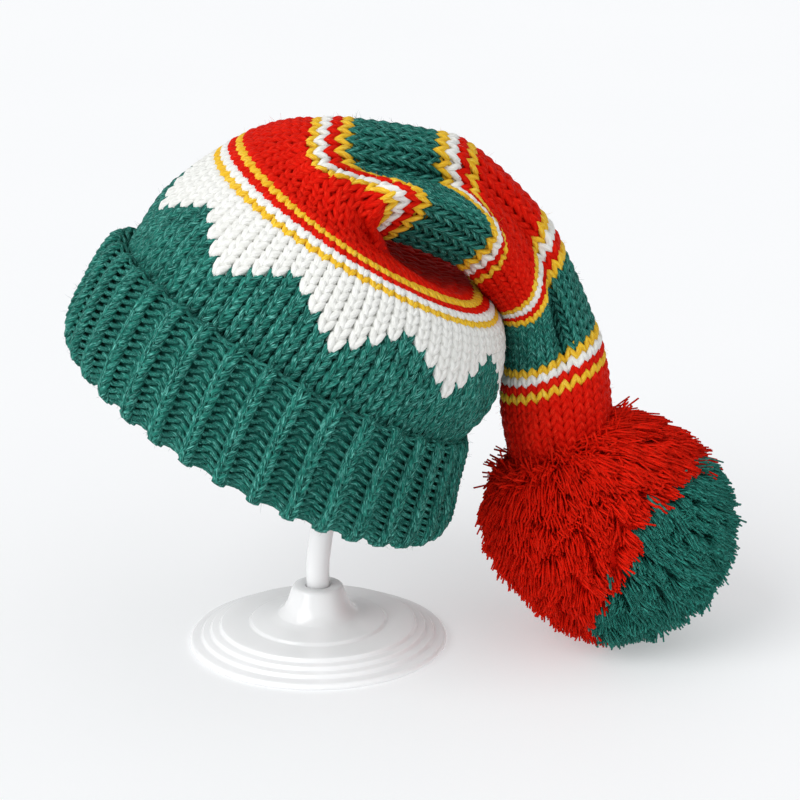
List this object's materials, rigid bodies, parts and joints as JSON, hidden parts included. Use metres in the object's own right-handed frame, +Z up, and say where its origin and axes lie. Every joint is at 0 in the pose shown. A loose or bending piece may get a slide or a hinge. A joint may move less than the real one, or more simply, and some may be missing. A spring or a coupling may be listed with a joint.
{
  "type": "santa hat on a stand",
  "caption": "Knitted santa hat with a turned-up ribbed cuff, zigzag and striped bands, a long folded tail and a yarn pompom, on a plain white display stand.",
  "frame": {"origin": "middle of the stand's flat underside, on the surface that it stands on", "axes": "+Z up, +X to the side that the tail and pompom fall to, -Y towards the viewer of the front"},
  "size_m": [0.2923, 0.1898, 0.2371],
  "materials": {
    "striped_knit": "stocking stitch in green, white, yellow and red acrylic yarn",
    "green_yarn": "soft plied acrylic yarn, bottle green",
    "red_yarn": "soft plied acrylic yarn, bright red",
    "white_plastic": "moulded, glossy"
  },
  "bodies": {
    "root": {"cap": "striped_knit", "cuff": "green_yarn", "pompom": "red_yarn", "stand_base": "white_plastic", "stand_post": "white_plastic", "stand_dome": "white_plastic"}
  },
  "joints": []
}
